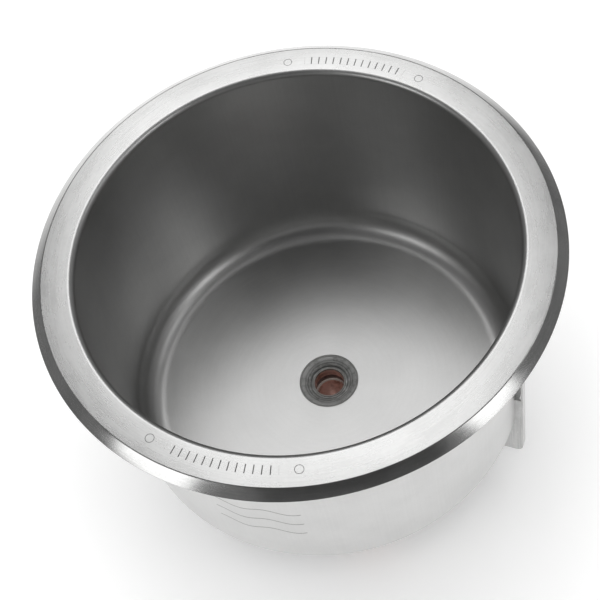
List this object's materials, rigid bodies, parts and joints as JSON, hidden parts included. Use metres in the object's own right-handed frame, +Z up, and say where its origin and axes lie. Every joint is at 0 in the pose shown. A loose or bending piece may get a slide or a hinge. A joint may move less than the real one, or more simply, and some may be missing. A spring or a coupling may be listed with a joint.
{
  "type": "drop-in soup kettle well",
  "caption": "Round drop-in heated well with a turned-down rim, a drain, a heater housing below and swing-out hold-down clamps.",
  "frame": {"origin": "centre of the well in the plane where the rim rests on the counter", "axes": "+Z up out of the well; the drain pipe leaves towards -Y and the cable entry towards +Y"},
  "size_m": [0.312, 0.312, 0.2222],
  "materials": {
    "brushed_stainless": "drawn well, satin, with a fine circular grain on the rim",
    "stainless_sheet": "mill-finished sheet",
    "dull_stainless": "dull grey turned fitting",
    "galvanised_sheet": "aluminised sheet",
    "silicone": "matt silicone",
    "copper": "drawn copper with brown oxide",
    "brass": "turned brass",
    "zinc_steel": "bright zinc plate",
    "cast_aluminium": "rolled plate",
    "element_sheath": "oxidised sheath, dark",
    "ceramic_wool": "pressed ceramic fibre",
    "black_nylon": "black nylon",
    "gland_rubber": "soft black rubber",
    "phenolic": "brown phenolic with plated cap",
    "red_plastic": "moulded",
    "ceramic": "unglazed steatite",
    "wire_insulation_red": "glass-braided silicone",
    "wire_insulation_white": "glass-braided silicone",
    "wire_insulation_green": "glass-braided silicone"
  },
  "bodies": {
    "root": {"block_nuts": "zinc_steel", "block_screws": "zinc_steel", "bottom_cover": "galvanised_sheet", "cable_gland": "black_nylon", "control_thermostat": "phenolic", "cover_gasket": "silicone", "cover_nuts": "zinc_steel", "cover_studs": "zinc_steel", "drain_elbow": "copper", "drain_flange": "dull_stainless", "drain_locknut": "brass", "drain_seal": "silicone", "drain_stub": "copper", "drain_washer": "zinc_steel", "earth_nut": "brass", "earth_stud": "brass", "element_clamp": "galvanised_sheet", "element_nuts": "zinc_steel", "element_studs": "zinc_steel", "gland_cap": "black_nylon", "gland_locknut": "black_nylon", "gland_seal": "gland_rubber", "heater_plate": "cast_aluminium", "heating_element": "element_sheath", "insulation_pad": "ceramic_wool", "limit_thermostat": "phenolic", "outlet_grommet": "silicone", "outlet_tube": "copper", "pivot_rivet_left": "zinc_steel", "pivot_rivet_right": "zinc_steel", "pivot_washer_left": "zinc_steel", "pivot_washer_right": "zinc_steel", "reset_bushing": "black_nylon", "reset_spring": "zinc_steel", "rim_gasket": "silicone", "side_bracket_left": "stainless_sheet", "side_bracket_right": "stainless_sheet", "tab_nuts": "zinc_steel", "tab_screws": "zinc_steel", "terminal_block": "ceramic", "terminal_screws": "brass", "thermostat_screws": "zinc_steel", "well_pan": "brushed_stainless", "wire_earth": "wire_insulation_green", "wire_heater": "wire_insulation_red", "wire_line": "wire_insulation_red", "wire_link": "wire_insulation_red", "wire_neutral": "wire_insulation_white"},
    "right_arm": {"clamp_arm_right": "stainless_sheet"},
    "right_pad": {"clamp_pad_right": "black_nylon"},
    "right_screw": {"clamp_screw_right": "zinc_steel"},
    "left_arm": {"clamp_arm_left": "stainless_sheet"},
    "left_pad": {"clamp_pad_left": "black_nylon"},
    "left_screw": {"clamp_screw_left": "zinc_steel"},
    "reset": {"reset_button": "red_plastic"}
  },
  "joints": [
    {"name": "right_arm_swing", "type": "hinge", "parent": "root", "child": "right_arm", "pos_m": [0.12202, -0.06732, -0.0497], "axis": [0, 0, -1], "range_deg": [0, 102]},
    {"name": "right_pad_lift", "type": "slide", "parent": "right_arm", "child": "right_pad", "axis": [0, 0, 1], "range_m": [0, 0.03]},
    {"name": "right_screw_turn", "type": "hinge", "parent": "right_pad", "child": "right_screw", "pos_m": [0.13277, -0.03931, -0.06], "axis": [0, 0, 1], "range_deg": [0, 10800]},
    {"name": "left_arm_swing", "type": "hinge", "parent": "root", "child": "left_arm", "pos_m": [-0.12202, 0.06732, -0.0497], "axis": [0, 0, -1], "range_deg": [0, 102]},
    {"name": "left_pad_lift", "type": "slide", "parent": "left_arm", "child": "left_pad", "axis": [0, 0, 1], "range_m": [0, 0.03]},
    {"name": "left_screw_turn", "type": "hinge", "parent": "left_pad", "child": "left_screw", "pos_m": [-0.13277, 0.03931, -0.06], "axis": [0, 0, 1], "range_deg": [0, 10800]},
    {"name": "reset_press", "type": "slide", "parent": "root", "child": "reset", "axis": [0, 0, 1], "range_m": [0, 0.0025], "stiffness_N_per_m": 600, "springref_m": -0.001, "deforming": ["reset_spring"]}
  ],
  "couplings": [
    {"joint": "right_screw_turn", "follows": "right_pad_lift", "rad_per_m": 6283.2},
    {"joint": "left_screw_turn", "follows": "left_pad_lift", "rad_per_m": 6283.2}
  ]
}
